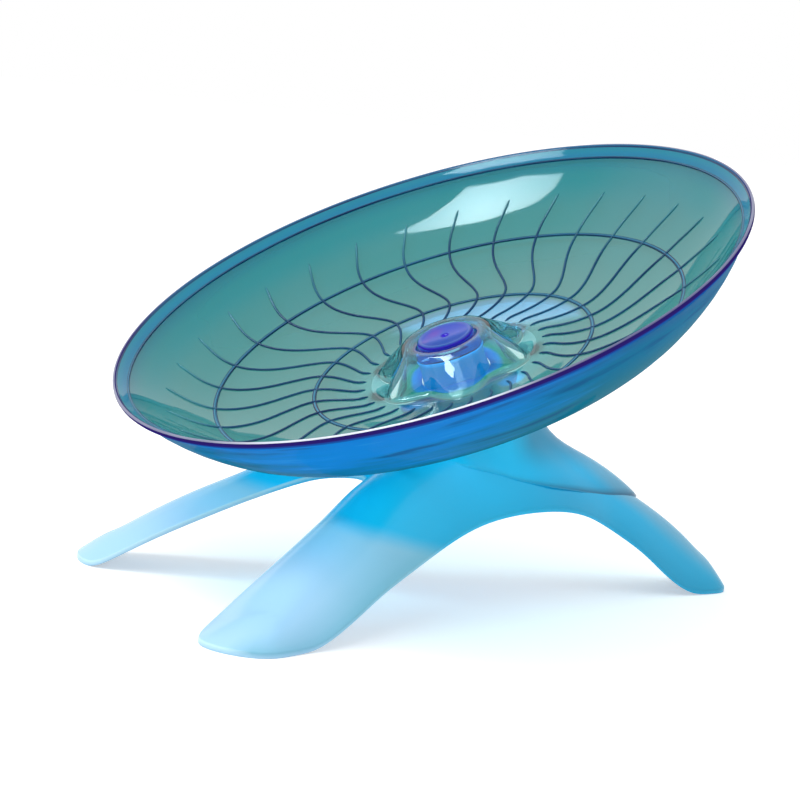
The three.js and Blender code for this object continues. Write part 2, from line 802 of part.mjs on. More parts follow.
// Assembly
const mesh = (name, geometry, material) => {
  const piece = new THREE.Mesh(geometry, material);
  piece.name = name;
  return piece;
};

const spinGroup = new THREE.Group();
spinGroup.add(
  mesh('dish', makeDish(), materials.dish),
  mesh('hub_cap', makeCap(), materials.cap),
  mesh('pivot_screw', makeScrew(), materials.fastener),
  mesh('spacer_collar', makeSpacer(), materials.fastener),
  mesh('bearing_inner_race', makeInnerRace(), materials.race),
  mesh('bearing_outer_race', makeOuterRace(), materials.race),
  mesh('bearing_shield_upper', makeShield(bearingTop), materials.race),
  mesh('bearing_shield_lower', makeShield(bearingBottom + shieldThickness), materials.race),
  mesh('bearing_cage', makeCage(), materials.cage),
  mesh('pivot_washer', makeWasher(), materials.fastener),
  mesh('lock_nut', makeNut(), materials.fastener),
);
for (let k = 0; k < ballCount; k += 1) {
  const ball = mesh(`bearing_ball_${k + 1}`, new THREE.SphereGeometry(ballRadius, 8, 6), materials.ball);
  ball.position.set(...ballPlace(k));
  spinGroup.add(ball);
}
// The spin axis passes through the pivot point above the stand's middle.
spinGroup.position.set(0, 0, pivotHeight);
spinGroup.rotation.y = -dishTilt;
for (const piece of spinGroup.children) piece.position.z += rimAbovePivot;

const saucer = new THREE.Group();
saucer.add(mesh('stand', makeStand(), materials.stand), spinGroup);
saucer.updateMatrixWorld(true);

// The origin is at the middle of the object's footprint, on the table.
const bounds = new THREE.Box3().setFromObject(saucer, true);
const middle = bounds.getCenter(new THREE.Vector3());
saucer.position.set(-middle.x, -middle.y, -bounds.min.z);
saucer.updateMatrixWorld(true);

export default saucer;
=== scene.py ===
"""Flying saucer wheel: a clear ribbed dish on a bearing, aslant over a three-legged stand."""
import json
import math

import bmesh
import bpy
from mathutils import Matrix, Vector


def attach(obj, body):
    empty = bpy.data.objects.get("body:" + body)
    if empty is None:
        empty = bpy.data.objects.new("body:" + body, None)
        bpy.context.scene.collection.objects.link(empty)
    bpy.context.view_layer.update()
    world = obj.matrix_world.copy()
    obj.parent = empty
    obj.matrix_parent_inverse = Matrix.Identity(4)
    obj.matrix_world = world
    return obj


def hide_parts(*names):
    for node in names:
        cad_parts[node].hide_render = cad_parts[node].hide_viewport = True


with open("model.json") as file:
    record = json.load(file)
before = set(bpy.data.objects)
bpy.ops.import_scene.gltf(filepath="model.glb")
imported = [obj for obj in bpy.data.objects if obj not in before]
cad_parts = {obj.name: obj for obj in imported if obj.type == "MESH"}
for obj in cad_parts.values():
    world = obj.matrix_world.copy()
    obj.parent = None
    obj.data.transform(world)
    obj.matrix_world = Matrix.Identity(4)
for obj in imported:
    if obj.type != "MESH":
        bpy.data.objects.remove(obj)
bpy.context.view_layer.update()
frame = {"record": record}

MM = 0.001
DEG = math.pi / 180
TURN = 2 * math.pi

# Where the dish and the stand are. The drops run down the spin axis from the rim's centre, to
# the bearing's middle and to the middle of the stand
spin_joint = frame["record"]["behaviour"]["joints"][0]
spin_axis = Vector(spin_joint["axis"]).normalized()
bearing_middle = Vector(spin_joint["pos_m"])
BEARING_DROP = 25.5
PIVOT_DROP = 42.0
DISH_TILT = 28.4
rim_centre = bearing_middle + spin_axis * BEARING_DROP * MM
pivot = rim_centre - spin_axis * PIVOT_DROP * MM


def leaning(share=1.0):
    """The dish's tilt, or a share of it."""
    return Matrix.Rotation(-DISH_TILT * share * DEG, 3, "Y")


# The dish's and the stand's own frames, which are in millimetres
dish_place = Matrix.Translation(rim_centre) @ leaning().to_4x4() @ Matrix.Scale(MM, 4)
stand_place = Matrix.Translation((pivot.x, 0, 0)) @ Matrix.Scale(MM, 4)

# Sizes of the dish in millimetres
RIM_RADIUS = 90.0
DISH_DEPTH = 26.4
DISH_WALL = 2.3
RIM_BEAD = 2.7
LIP_START = RIM_RADIUS - RIM_BEAD
LIP_LINE_RADIUS = 86.4
RIB_COUNT = 30
RIB_FROM = 25.5
RIB_TO = 78.5
RIB_PHASE = 5.0
RIB_HALF_WIDTH = 0.38
RIB_HEIGHT = 0.45
RIB_LIFT = 0.05
RIB_STEPS = 44
RIB_SIDES = 8
RIB_END = 0.35
RING_RIBS = (66.8, 39.9)
RING_HALF_WIDTH = 0.62
LIP_LINE_HALF_WIDTH = 0.34
LINE_HEIGHT = 0.4
LINE_SINK = 0.1
HUB_TOP_RADIUS = 12.9
HUB_TOP = -17.6
HUB_WALL = 1.4
HUB_INSIDE = HUB_TOP_RADIUS - HUB_WALL
HUB_UNDER = HUB_TOP - HUB_WALL
VALLEY_RADIUS = 16.5
LOBE_RADIUS = 22.2
LOBES = 6
CAP_RADIUS = 7.55
CAP_RISE = 0.5
CAP_STEPS = 96
WELL_RADIUS = 7.85
WELL_OUTSIDE = WELL_RADIUS + 0.9
PRESS_FIT = 0.12
WELL_TOP = -20.4
WELL_BOTTOM = -21.6
SCREW_HOLE = 2.5
WEB_HOLE = 9.9
WEB_TOP = -28.0
WEB_WALL = 0.6
DISH_STEPS = 180

# The dish's inner drop and outer sag, by the share of the rim's radius
INNER_WALL = ((0.25, 1), (0.34, 0.99), (0.443, 0.945), (0.52, 0.915), (0.6, 0.868),
              (0.68, 0.793), (0.742, 0.712), (0.8, 0.595), (0.85, 0.465), (0.9, 0.318),
              (0.94, 0.184), (0.97, 0.076))
OUTER_WALL = ((0.17, 0), (0.3, 0.3), (0.47, 0.8), (0.62, 1.5), (0.73, 2), (0.83, 2.1),
              (0.91, 1.4), (0.97, 0.1))
# The turn of a rib in degrees, by the share of its way outwards
RIB_SWING = ((0, 0), (0.045, -0.9), (0.11, -5.2), (0.18, -8.6), (0.25, -10.1), (0.32, -9.8),
             (0.4, -7.6), (0.49, -4.6), (0.58, -2), (0.68, -0.3), (0.78, 0), (0.86, -0.7),
             (0.94, -2.3), (1, -3.6))


def along_table(table, x):
    """Reads a table of rows at x, on a smooth curve through its rows."""
    i = 0
    while i < len(table) - 2 and x > table[i + 1][0]:
        i += 1
    (x0, y0), (x1, y1) = table[i][:2], table[i + 1][:2]
    here = (y1 - y0) / (x1 - x0)
    before = after = here
    if i > 0:
        before = (y0 - table[i - 1][1]) / (x0 - table[i - 1][0])
    if i < len(table) - 2:
        after = (table[i + 2][1] - y1) / (table[i + 2][0] - x1)
    t = min(max((x - x0) / (x1 - x0), 0), 1)
    start, end = (before + here) / 2 * (x1 - x0), (here + after) / 2 * (x1 - x0)
    return ((2 * t**3 - 3 * t**2 + 1) * y0 + (t**3 - 2 * t**2 + t) * start
            + (3 * t**2 - 2 * t**3) * y1 + (t**3 - t**2) * end)


def inner_height(radius):
    """The height of the dish's inner face."""
    return -DISH_DEPTH * along_table(INNER_WALL, radius / RIM_RADIUS)


def outer_height(radius):
    """The height of the dish's outer face."""
    return inner_height(radius) - DISH_WALL - along_table(OUTER_WALL, radius / RIM_RADIUS)


# Colours and materials
LAMP_TINT = (0.6, 0.89, 0.98, 1)
HUB_LAMP_TINT = (0.92, 0.98, 1, 1)
CLEAR_NEAR_HUB = 0.9
# Directions: towards the side seen in the photograph, towards the floor behind the hub, and
# straight out of the front legs' crowns
# FRONT_SIDE leads a painted glow and painted highlights, among other tints; FAR_FLOOR leads a
# painted reflection
FRONT_SIDE = Vector((-0.6, -0.73, -0.32)).normalized()
FAR_FLOOR = Vector((0.77, 0.49, 0.41)).normalized()
FRONT_LEG_UP = Vector((0.2217, 0, 0.975))
# Painted spots on the floor before the hub, where the stand's azure shows through, in the dish's
# own frame
SHOWTHROUGH_SPOTS = (Vector((-20.4, -9.6, -26)), Vector((1.2, -25.3, -26)))
SPOT_FULL = 3.2
SPOT_GONE = 5.2
# How tightly the wisps are wound, along the spin axis and across it
WISP_SCALES = (0.3, 0.03, 0.03)


def paint(red, green, blue):
    """A colour as the eye names it, from 0 to 255, made linear."""
    def linear(value):
        value /= 255
        return value / 12.92 if value <= 0.04045 else ((value + 0.055) / 1.055) ** 2.4
    return (linear(red), linear(green), linear(blue), 1)


def grey(level):
    return paint(level, level, level)


class Nodes:
    """A node tree under construction, with short calls for its nodes."""

    def __init__(self, tree):
        self.nodes = tree.nodes
        self.links = tree.links

    def feed(self, socket, value):
        """Gives a socket another node's output, or a fixed value."""
        if isinstance(value, bpy.types.NodeSocket):
            self.links.new(value, socket)
        else:
            socket.default_value = value

    def feed_named(self, node, values):
        """Feeds inputs of a node by name. An underscore stands for a space."""
        for name, value in values.items():
            self.feed(node.inputs[name.replace("_", " ")], value)

    def node(self, kind, *ordered, operation=None, **named):
        """A new node, its inputs fed in their order or by name."""
        made = self.nodes.new("ShaderNode" + kind)
        if operation:
            made.operation = operation
        for socket, value in zip(made.inputs, ordered):
            self.feed(socket, value)
        self.feed_named(made, named)
        return made

    def math(self, kind, first, second):
        return self.node("Math", first, second, operation=kind).outputs[0]

    def span(self, value, low, high, start=0.0, end=1.0):
        """Carries a value that runs from low to high over to one from start to end."""
        return self.node("MapRange", Value=value, From_Min=low, From_Max=high, To_Min=start,
                         To_Max=end).outputs[0]

    def seen(self):
        """1 for a ray that shows things, straight, mirrored or through clear plastic, and 0
        for one that only carries light."""
        rays = self.node("LightPath").outputs
        bent = self.math("MAXIMUM", rays["Is Glossy Ray"], rays["Is Transmission Ray"])
        return self.math("MAXIMUM", rays["Is Camera Ray"], bent)


class Finish(Nodes):
    """A material under construction. The names given are inputs of its shader."""

    def __init__(self, name, **values):
        self.material = bpy.data.materials.new(name)
        self.material.use_nodes = True
        super().__init__(self.material.node_tree)
        self.shader = self.nodes["Principled BSDF"]
        self.place = self.node("TexCoord").outputs["Object"]
        self.set(**values)

    def set(self, **values):
        self.feed_named(self.shader, values)

    def surface(self, source):
        """Makes a shader the material's surface, in place of its own alone."""
        self.feed(self.nodes["Material Output"].inputs["Surface"], source)

    def noise(self, scale, detail=2.0, rough=0.5, place=None):
        return self.node("TexNoise", Vector=place or self.place, Scale=scale, Detail=detail,
                         Roughness=rough).outputs["Fac"]

    def vector(self, kind, first, *second):
        return self.node("VectorMath", first, *second, operation=kind).outputs["Vector"]

    def measure(self, kind, first, *second):
        """A vector node whose result is a number."""
        return self.node("VectorMath", first, *second, operation=kind).outputs["Value"]

    def height(self, axis, origin=rim_centre):
        """How far a point lies along an axis from an origin, in millimetres."""
        arm = self.vector("SUBTRACT", self.place, origin)
        return self.measure("DOT_PRODUCT", arm, Vector(axis) / MM)

    def radius(self):
        """How far a point lies from the spin axis, in millimetres."""
        arm = self.vector("SUBTRACT", self.place, rim_centre)
        return self.measure("LENGTH", self.vector("CROSS_PRODUCT", arm, spin_axis / MM))

    def drifting(self, value, scale, detail, width):
        """A value pushed to and fro by noise, over a width in all."""
        noise = self.math("SUBTRACT", self.noise(scale, detail), 0.5)
        return self.math("ADD", value, self.math("MULTIPLY", noise, width))

    def wisps(self):
        """Noise drawn out into long level streaks round the dish."""
        ways = [self.height(axis) for axis in (spin_axis, (1, 0, 0), (0, 1, 0))]
        wound = [self.math("MULTIPLY", way, scale) for way, scale in zip(ways, WISP_SCALES)]
        return self.noise(1, 3, 0.55, self.node("CombineXYZ", *wound).outputs["Vector"])

    def marked(self, name):
        """A number that the piece's own points carry."""
        made = self.node("Attribute")
        made.attribute_name = name
        return made.outputs["Fac"]

    def ramp(self, value, low, high, stops):
        """Colours along a value that runs from low to high."""
        made = self.node("ValToRGB", self.span(value, low, high))
        ramp = made.color_ramp
        ramp.interpolation = "EASE"
        while len(ramp.elements) < len(stops):
            ramp.elements.new(0.5)
        for element, (at, colour) in zip(ramp.elements, stops):
            element.position = at
            element.color = colour
        return made.outputs["Color"]

    def fade(self, value, low, high, start=0, end=255):
        """A share that goes from one grey to another as a value runs from low to high."""
        return self.ramp(value, low, high, ((0.0, grey(start)), (1.0, grey(end))))

    def both(self, first, second):
        """The product of two shares."""
        return self.math("MULTIPLY", first, second)

    def mix(self, share, first, second, blend="MIX"):
        """Lays the second colour over the first, by a share."""
        made = self.node("Mix")
        made.data_type = "RGBA"
        made.blend_type = blend
        self.feed(made.inputs["Factor"], share)
        colours = [socket for socket in made.inputs if socket.type == "RGBA"]
        for socket, value in zip(colours, (first, second)):
            self.feed(socket, value)
        return next(socket for socket in made.outputs if socket.type == "RGBA")

    def bump(self, height, strength, distance):
        """Roughens the surface. The distance is in metres."""
        bumps = self.node("Bump", Height=height, Strength=strength, Distance=distance)
        self.set(Normal=bumps.outputs["Normal"])


def milky(finish, tint):
    """Pale clouds in the plastic."""
    clouds = finish.fade(finish.noise(11, 1), 0.48, 0.66, 0, 190)
    return finish.mix(clouds, tint, paint(126, 180, 174))


def painted_front_glow(finish, tint):
    """A painted azure glow of the stand showing through the wall, on the side that FRONT_SIDE
    points to, with dark wisps and painted highlight wisps that fade out towards the back."""
    wisps = finish.wisps()
    front = finish.height(FRONT_SIDE)
    # Painted glow where the stand would show through the wall
    glow = finish.math("ADD", front, finish.math("MULTIPLY", wisps, 44))
    tint = finish.mix(finish.fade(glow, 86, 110, 0, 225), tint, paint(24, 150, 246))
    shown = finish.fade(front, 10, 50)
    dark = finish.both(finish.fade(wisps, 0.3, 0.46, 200, 0), shown)
    # Painted highlight streaks
    light = finish.both(finish.fade(wisps, 0.6, 0.74, 0, 170), shown)
    tint = finish.mix(dark, tint, paint(20, 76, 140))
    return finish.mix(light, tint, paint(60, 176, 232))


def painted_hub_reflection_and_spots(finish, tint):
    """A pale painted reflection on the floor behind the hub, and painted azure spots before it
    where the stand shows through.
    """
    painted_reflection = finish.both(finish.fade(finish.radius(), 37.5, 39.5, 255, 0),
                        finish.fade(finish.height(FAR_FLOOR), 20, 27, 0, 225))
    tint = finish.mix(painted_reflection, tint, paint(150, 206, 240))
    # Painted spots of the stand's azure showing through the floor
    for spot in SHOWTHROUGH_SPOTS:
        away = finish.measure("DISTANCE", finish.place, dish_place @ spot)
        share = finish.fade(away, SPOT_FULL * MM, SPOT_GONE * MM, 235, 0)
        tint = finish.mix(share, tint, paint(16, 184, 250))
    return tint


def clear_plastic(name, stops, low, high, clearness, shine, coat=0.0, layers=(),
                  lamps=LAMP_TINT):
    """Tinted clear plastic whose tint runs along the dish's height, with further tints, painted
    glows and painted reflections among them, laid over it in layers. Lamps shine through it."""
    finish = Finish(name, Metallic=0, Roughness=0.04, IOR=1.46, Coat_Weight=coat,
                    Specular_IOR_Level=shine)
    tint = finish.ramp(finish.drifting(finish.height(spin_axis), 14, 1, 5), low, high, stops)
    for layer in layers:
        tint = layer(finish, tint)
    if painted_hub_reflection_and_spots in layers:  # the floor there is clearer too
        clearness = finish.span(finish.radius(), 26, 38, CLEAR_NEAR_HUB, clearness)
    finish.set(Base_Color=tint, Transmission_Weight=clearness)
    finish.bump(finish.noise(60, 1), 0.06, 0.0004)
    shadow = finish.node("LightPath").outputs["Is Shadow Ray"]
    pane = finish.node("BsdfTransparent", Color=lamps).outputs[0]
    finish.surface(finish.node("MixShader", shadow, finish.shader.outputs[0], pane).outputs[0])
    return finish.material


inner_clear = clear_plastic("dish_inner_clear", (
    (0.0, paint(98, 174, 166)), (0.45, paint(88, 174, 164)), (0.72, paint(50, 170, 162)),
    (0.9, paint(30, 154, 162)), (1.0, paint(26, 144, 166))), -27, 0, 0.6, 0.25,
    layers=(milky, painted_hub_reflection_and_spots))
outer_clear = clear_plastic("dish_outer_clear", (
    (0.0, paint(34, 118, 128)), (0.4, paint(24, 124, 150)), (0.75, paint(18, 124, 166)),
    (1.0, paint(30, 100, 164))), -30, -1, 0.08, 0, layers=(painted_front_glow, painted_hub_reflection_and_spots))
hub_clear = clear_plastic("hub_clear", (
    (0.0, paint(190, 236, 230)), (0.72, paint(190, 236, 246)), (0.9, paint(120, 196, 222)),
    (1.0, paint(84, 168, 208))), -27, -17, 1, 0.002, coat=0.2, lamps=HUB_LAMP_TINT)
well_azure = clear_plastic("well_azure", (
    (0.0, paint(20, 150, 246)), (1.0, paint(24, 146, 250))), -22, -19.7, 0.1, 0.01)
band_clear = clear_plastic("rim_band_clear", (
    (0.0, paint(38, 134, 168)), (0.6, paint(40, 146, 172)), (1.0, paint(56, 132, 156))),
    -2.8, 0, 0.3, 0.1)


def rim_material():
    """Dark violet on the outside of the lip, turning blue downwards and teal on the far side."""
    finish = Finish("rim_violet", Roughness=0.08, IOR=1.46, Specular_IOR_Level=0)
    near = finish.ramp(finish.drifting(finish.height(spin_axis), 18, 2, 1.2), -2.4, 0, (
        (0.0, paint(26, 108, 186)), (0.3, paint(34, 80, 168)), (0.52, paint(46, 32, 116)),
        (1.0, paint(44, 30, 100))))
    far = finish.fade(finish.height(FRONT_SIDE), -50, 0, 230, 0)
    finish.set(Base_Color=finish.mix(far, near, paint(44, 116, 150)))
    return finish.material


def crest_material():
    """The thin line along the top of the lip, with a painted highlight on the near side."""
    finish = Finish("rim_crest", Roughness=0.05, IOR=1.5, Specular_IOR_Level=0.6)
    tint = finish.ramp(finish.noise(24, 2), 0.3, 0.7, (
        (0.0, paint(84, 84, 130)), (1.0, paint(128, 132, 160))))
    # Painted highlight on the near side
    bright = finish.fade(finish.drifting(finish.height(FRONT_SIDE), 24, 2, 24), 78, 91, 0, 240)
    finish.set(Base_Color=finish.mix(bright, tint, paint(226, 232, 246)))
    return finish.material


def rib_material(name, painted_highlit_ends):
    """Navy line plastic. The ribs that cross the wall turn pale towards their outer ends, a painted
    highlight.
    """
    finish = Finish(name, Roughness=0.12, IOR=1.46, Transmission_Weight=0.2,
                    Specular_IOR_Level=0.22)
    navy = finish.ramp(finish.noise(30, 2), 0.3, 0.7, (
        (0.0, paint(10, 50, 96)), (1.0, paint(22, 84, 124))))
    if painted_highlit_ends:
        # Painted highlight towards the ribs' outer ends
        far = finish.fade(finish.drifting(finish.radius(), 26, 2, 24), 62, 82, 0, 200)
        navy = finish.mix(far, navy, paint(96, 186, 190))
    finish.set(Base_Color=navy)
    return finish.material


def web_material():
    """The clear floor under the hub's bell, azure near the cup, then green, paler outwards."""
    finish = Finish("hub_web_clear", Roughness=0.2, IOR=1.3, Transmission_Weight=0.2,
                    Specular_IOR_Level=0.1)
    finish.set(Base_Color=finish.ramp(finish.drifting(finish.radius(), 60, 1, 4), 9, 24, (
        (0.0, paint(24, 150, 246)), (0.24, paint(28, 152, 232)), (0.36, paint(44, 156, 136)),
        (0.6, paint(86, 156, 166)), (1.0, paint(130, 184, 182)))))
    return finish.material


def cap_material():
    """Mottled violet with a dark dimple in the middle. Its skirt is a deeper violet."""
    finish = Finish("cap_violet", Roughness=0.2, IOR=1.46, Specular_IOR_Level=0.25)
    tint = finish.ramp(finish.noise(70, 2), 0.35, 0.65, (
        (0.0, paint(40, 88, 168)), (0.55, paint(66, 94, 176)), (1.0, paint(108, 86, 164))))
    dimple = finish.ramp(finish.radius(), 0, 1.9, (
        (0.0, paint(20, 16, 70)), (0.45, paint(34, 28, 104)), (0.7, grey(255))))
    top = finish.mix(1.0, tint, dimple, "MULTIPLY")
    above = finish.ramp(finish.height(spin_axis), -20, -17.2, (
        (0.0, grey(0)), (0.82, grey(0)), (1.0, grey(255))))
    finish.set(Base_Color=finish.mix(above, paint(44, 20, 190), top))
    return finish.material


def stand_material():
    """Bright cyan in the middle and ice blue down the front legs, partly the plastic's own gradient
    and partly painted light that the blue dish lets through; darker towards the rear as painted
    shade, a painted grey sheen where the rear leg and the neck turn upwards, a painted shadow of
    the dish on the neck, painted shade on the near flanks and in the crease, and a painted
    highlight along the sheet's edge."""
    finish = Finish("stand_cyan", Roughness=0.22, IOR=1.46, Specular_IOR_Level=0.3)
    middle = (pivot.x, 0, 0)
    rearward = finish.height((1, 0, 0), middle)
    # Darker and duller towards the rear leg: painted shade
    cyan = finish.ramp(finish.drifting(rearward, 16, 2, 16), -68, 102, (
        (0.0, paint(24, 208, 255)), (0.38, paint(20, 206, 255)), (0.6, paint(26, 190, 240)),
        (1.0, paint(40, 178, 222))))
    ice = finish.ramp(rearward, -104, -50, (
        (0.0, paint(170, 214, 240)), (0.5, paint(168, 216, 245)), (1.0, paint(164, 222, 247))))
    # Ice blue below, cyan above: partly the plastic's own gradient, partly painted light from the
    # blue dish
    above_legs = finish.drifting(finish.height(FRONT_LEG_UP, middle), 30, 2, 3)
    tint = finish.mix(finish.fade(above_legs, 11.5, 17), ice, cyan)
    # Painted grey sheen along the crown of the rear leg, then painted shadow of the dish on the
    # rear of the neck, then the cup
    crown = finish.ramp(finish.height((0, 1, 0), middle), -9, 11, (
        (0.0, grey(0)), (0.17, grey(225)), (0.6, grey(225)), (1.0, grey(0))))
    tint = finish.mix(finish.both(crown, finish.fade(rearward, 20, 52)), tint, paint(112, 174, 202))
    # Painted shadow of the dish, high on the rear of the neck
    neck = finish.fade(finish.height((0, 0, 1), (0, 0, 0)), 37, 47, 0, 200)
    tint = finish.mix(finish.both(neck, finish.fade(rearward, 6, 18)), tint, paint(30, 104, 134))
    cup = finish.fade(finish.height(spin_axis), -36, -31, 0, 235)
    tint = finish.mix(cup, tint, paint(6, 162, 240))
    # Painted shade on the near flanks, deepest towards the sheet's low edge
    shaded = finish.mix(1.0, tint, paint(196, 226, 226), "MULTIPLY")
    tint = finish.mix(finish.marked("flank"), tint, shaded)
    # Painted shade in the crease where the neck's skin meets the sheet
    tint = finish.mix(finish.marked("crease"), tint, paint(16, 96, 130))
    # Painted highlight along the sheet's edge between the front legs
    tint = finish.mix(finish.marked("edge_line"), tint, paint(204, 242, 252))
    finish.set(Base_Color=tint)
    finish.bump(finish.noise(45, 2), 0.05, 0.0005)
    return finish.material


def metal(name, dark, light, roughness):
    """Metal with a fine grain."""
    finish = Finish(name, Metallic=1, Roughness=roughness)
    grain = finish.noise(900, 3, 0.6)
    finish.set(Base_Color=finish.ramp(grain, 0.3, 0.7, ((0.0, dark), (1.0, light))))
    finish.bump(grain, 0.1, 0.00005)
    return finish.material


def nylon_material():
    """The bearing cage's off-white nylon."""
    finish = Finish("cage_nylon", Roughness=0.5)
    finish.set(Base_Color=finish.ramp(finish.noise(400, 2), 0.3, 0.7, (
        (0.0, paint(214, 208, 190)), (1.0, paint(232, 228, 214)))))
    return finish.material


rim_violet = rim_material()
rim_crest = crest_material()
rib_navy = rib_material("rib_navy", True)
ring_navy = rib_material("ring_navy", False)
web_green = web_material()
cap_violet = cap_material()
stand_cyan = stand_material()
bearing_steel = metal("bearing_steel", paint(165, 168, 172), paint(205, 207, 210), 0.22)
ball_steel = metal("ball_steel", paint(205, 207, 210), paint(232, 233, 235), 0.08)
zinc = metal("zinc_plate", paint(150, 154, 158), paint(190, 193, 196), 0.32)
cage_nylon = nylon_material()

# Pieces


def new_object(name, data):
    """A new object in the scene."""
    made = bpy.data.objects.new(name, data)
    bpy.context.scene.collection.objects.link(made)
    return made


def mesh_object(name, bm, materials):
    """Turns a bmesh into an object."""
    mesh = bpy.data.meshes.new(name)
    bm.to_mesh(mesh)
    bm.free()
    for material in materials:
        mesh.materials.append(material)
    return new_object(name, mesh)


def piece(name, bm, place, materials, body, replaced=()):
    """Turns a bmesh in millimetres into a finished object riding on a body."""
    bmesh.ops.transform(bm, matrix=place, verts=bm.verts)
    for face in bm.faces:
        face.smooth = True
    made = mesh_object(name, bm, materials)
    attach(made, body)
    if replaced:
        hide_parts(*replaced)
    return made


def weld(bm, distance):
    """Merges points that meet and turns the faces outwards."""
    bmesh.ops.remove_doubles(bm, verts=bm.verts, dist=distance)
    bmesh.ops.recalc_face_normals(bm, faces=bm.faces)


def spun(profile, steps, closed=True, zone=None):
    """Spins a profile of radius and height about the upright axis. Zone gives the slot of a
    face's material from the radius and the height of its middle."""
    bm = bmesh.new()
    verts = [bm.verts.new((radius, 0, height)) for radius, height in profile]
    pairs = zip(verts, verts[1:] + verts[:1]) if closed else zip(verts, verts[1:])
    edges = [bm.edges.new(pair) for pair in pairs]
    bmesh.ops.spin(bm, geom=verts + edges, cent=(0, 0, 0), axis=(0, 0, 1), angle=TURN,
                   steps=steps, use_merge=True, use_duplicate=False)
    weld(bm, 1e-4)
    if zone:
        for face in bm.faces:
            middle = face.calc_center_median()
            face.material_index = zone(math.hypot(middle.x, middle.y), middle.z)
    return bm


def next_ring(bm, verts, edges, points):
    """Extrudes a ring of edges to the given points and gives back the new ring."""
    made = bmesh.ops.extrude_edge_only(bm, edges=edges)["geom"]
    fresh = {item for item in made if isinstance(item, bmesh.types.BMVert)}
    twins = []
    for vert in verts:
        others = (edge.other_vert(vert) for edge in vert.link_edges)
        twins.append(next(other for other in others if other in fresh))
    for twin, point in zip(twins, points):
        twin.co = point
    return twins, [item for item in made if isinstance(item, bmesh.types.BMEdge)
                   and item.verts[0] in fresh and item.verts[1] in fresh]


def through_rings(rings):
    """A skin over rings of points, open at both ends."""
    bm = bmesh.new()
    verts = bmesh.ops.create_circle(bm, cap_ends=False, segments=len(rings[0]), radius=1)["verts"]
    edges = list({edge for vert in verts for edge in vert.link_edges})
    for vert, point in zip(verts, rings[0]):
        vert.co = point
    for ring in rings[1:]:
        verts, edges = next_ring(bm, verts, edges, ring)
    return bm


# The hub bell's flare: share of its depth, then of its width
BELL = ((0, 0), (0.05, 0.09), (0.12, 0.18), (0.22, 0.31), (0.35, 0.47), (0.5, 0.655), (0.64, 0.79),
        (0.78, 0.89), (0.9, 0.955), (1, 1))
BELL_INSIDE = (1, 0.86, 0.72, 0.55, 0.35, 0.15)
BELL_POWER = 1.1
LOBE_POWER = 0.8
# How far the bell flares before its lobes are swollen
PLAIN_FLARE = 5.0
PLAIN_FLARE_INSIDE = 3.0
# The lip's section: distance from the rim's radius, then height
LIP_SECTION = ((-1.9, -1.25), (-1.3, -0.68), (-0.95, -0.3), (-0.7, -0.08), (-0.45, 0),
               (-0.2, -0.08), (-0.05, -0.3), (0, -0.7), (-0.12, -1.2), (-0.5, -1.8), (-1.1, -2.4),
               (-2, -3.1), (-3, -3.9))
# A raised line's section: share of its half width, then of its height
LINE_SECTION = ((-1, 0), (-0.85, 0.8), (-0.6, 1), (-0.3, 0.7), (0.3, 0.7), (0.6, 1), (0.85, 0.8),
                (1, 0))
INNER_STEP = 1.8
OUTER_STEP = 2.4
OUTER_FROM = 0.945 * RIM_RADIUS

# The shell's materials, by the number of their slot
SHELL = (inner_clear, outer_clear, rim_violet, hub_clear, band_clear, rim_crest, ring_navy,
         well_azure)
INNER, OUTER, VIOLET, HUB, BAND, CREST, LINE, WELL = range(len(SHELL))


def lobed(angle, share, wall=0.0):
    """The radius of the hub bell at an angle, from its top (share 0) to its foot (share 1)."""
    swell = (0.5 + 0.5 * math.cos(LOBES * angle)) ** LOBE_POWER
    foot = VALLEY_RADIUS + (LOBE_RADIUS - VALLEY_RADIUS) * swell
    return HUB_TOP_RADIUS + (foot - HUB_TOP_RADIUS) * share - wall


def level_key(height):
    return round(height, 4)


def shell_profile():
    """The shell's section: well, bell, floor, wall and rim, then back below. With it come the
    levels of the bell's outside and inside, each with what lobed() takes there."""
    foot = inner_height(LOBE_RADIUS)
    outside, inside = {}, {}
    profile = [(SCREW_HOLE, WELL_BOTTOM), (SCREW_HOLE, WELL_TOP), (WELL_RADIUS, WELL_TOP),
               (WELL_RADIUS, HUB_TOP - 0.3), (WELL_RADIUS + 0.25, HUB_TOP),
               (HUB_TOP_RADIUS - 1.2, HUB_TOP), (HUB_TOP_RADIUS - 0.5, HUB_TOP - 0.12)]
    for depth, share in BELL:
        level = (HUB_TOP - 0.5) * (1 - depth) + foot * depth
        outside[level_key(level)] = (share**BELL_POWER,)
        profile.append((HUB_TOP_RADIUS + share * PLAIN_FLARE, level))
    radius = LOBE_RADIUS + 1.5
    while radius < LIP_START:
        profile.append((radius, inner_height(radius)))
        radius += INNER_STEP
    profile.append((LIP_START, inner_height(LIP_START)))
    profile += [(RIM_RADIUS + out, height) for out, height in LIP_SECTION]
    radius = OUTER_FROM
    while radius > LOBE_RADIUS + 3:
        profile.append((radius, outer_height(radius)))
        radius -= OUTER_STEP
    under = outer_height(LOBE_RADIUS + HUB_WALL / 2)
    inside[level_key(under)] = (1, -HUB_WALL / 2)
    profile.append((LOBE_RADIUS, under))
    for share in BELL_INSIDE:
        level = (foot - 1.2) * share + HUB_UNDER * (1 - share)
        inside[level_key(level)] = (share, HUB_WALL)
        profile.append((HUB_INSIDE + share * PLAIN_FLARE_INSIDE, level))
    profile += [(HUB_INSIDE, HUB_UNDER), (WELL_OUTSIDE, HUB_UNDER), (WELL_OUTSIDE, HUB_TOP - 2.1),
                (WELL_OUTSIDE, WELL_BOTTOM)]
    return profile, outside, inside


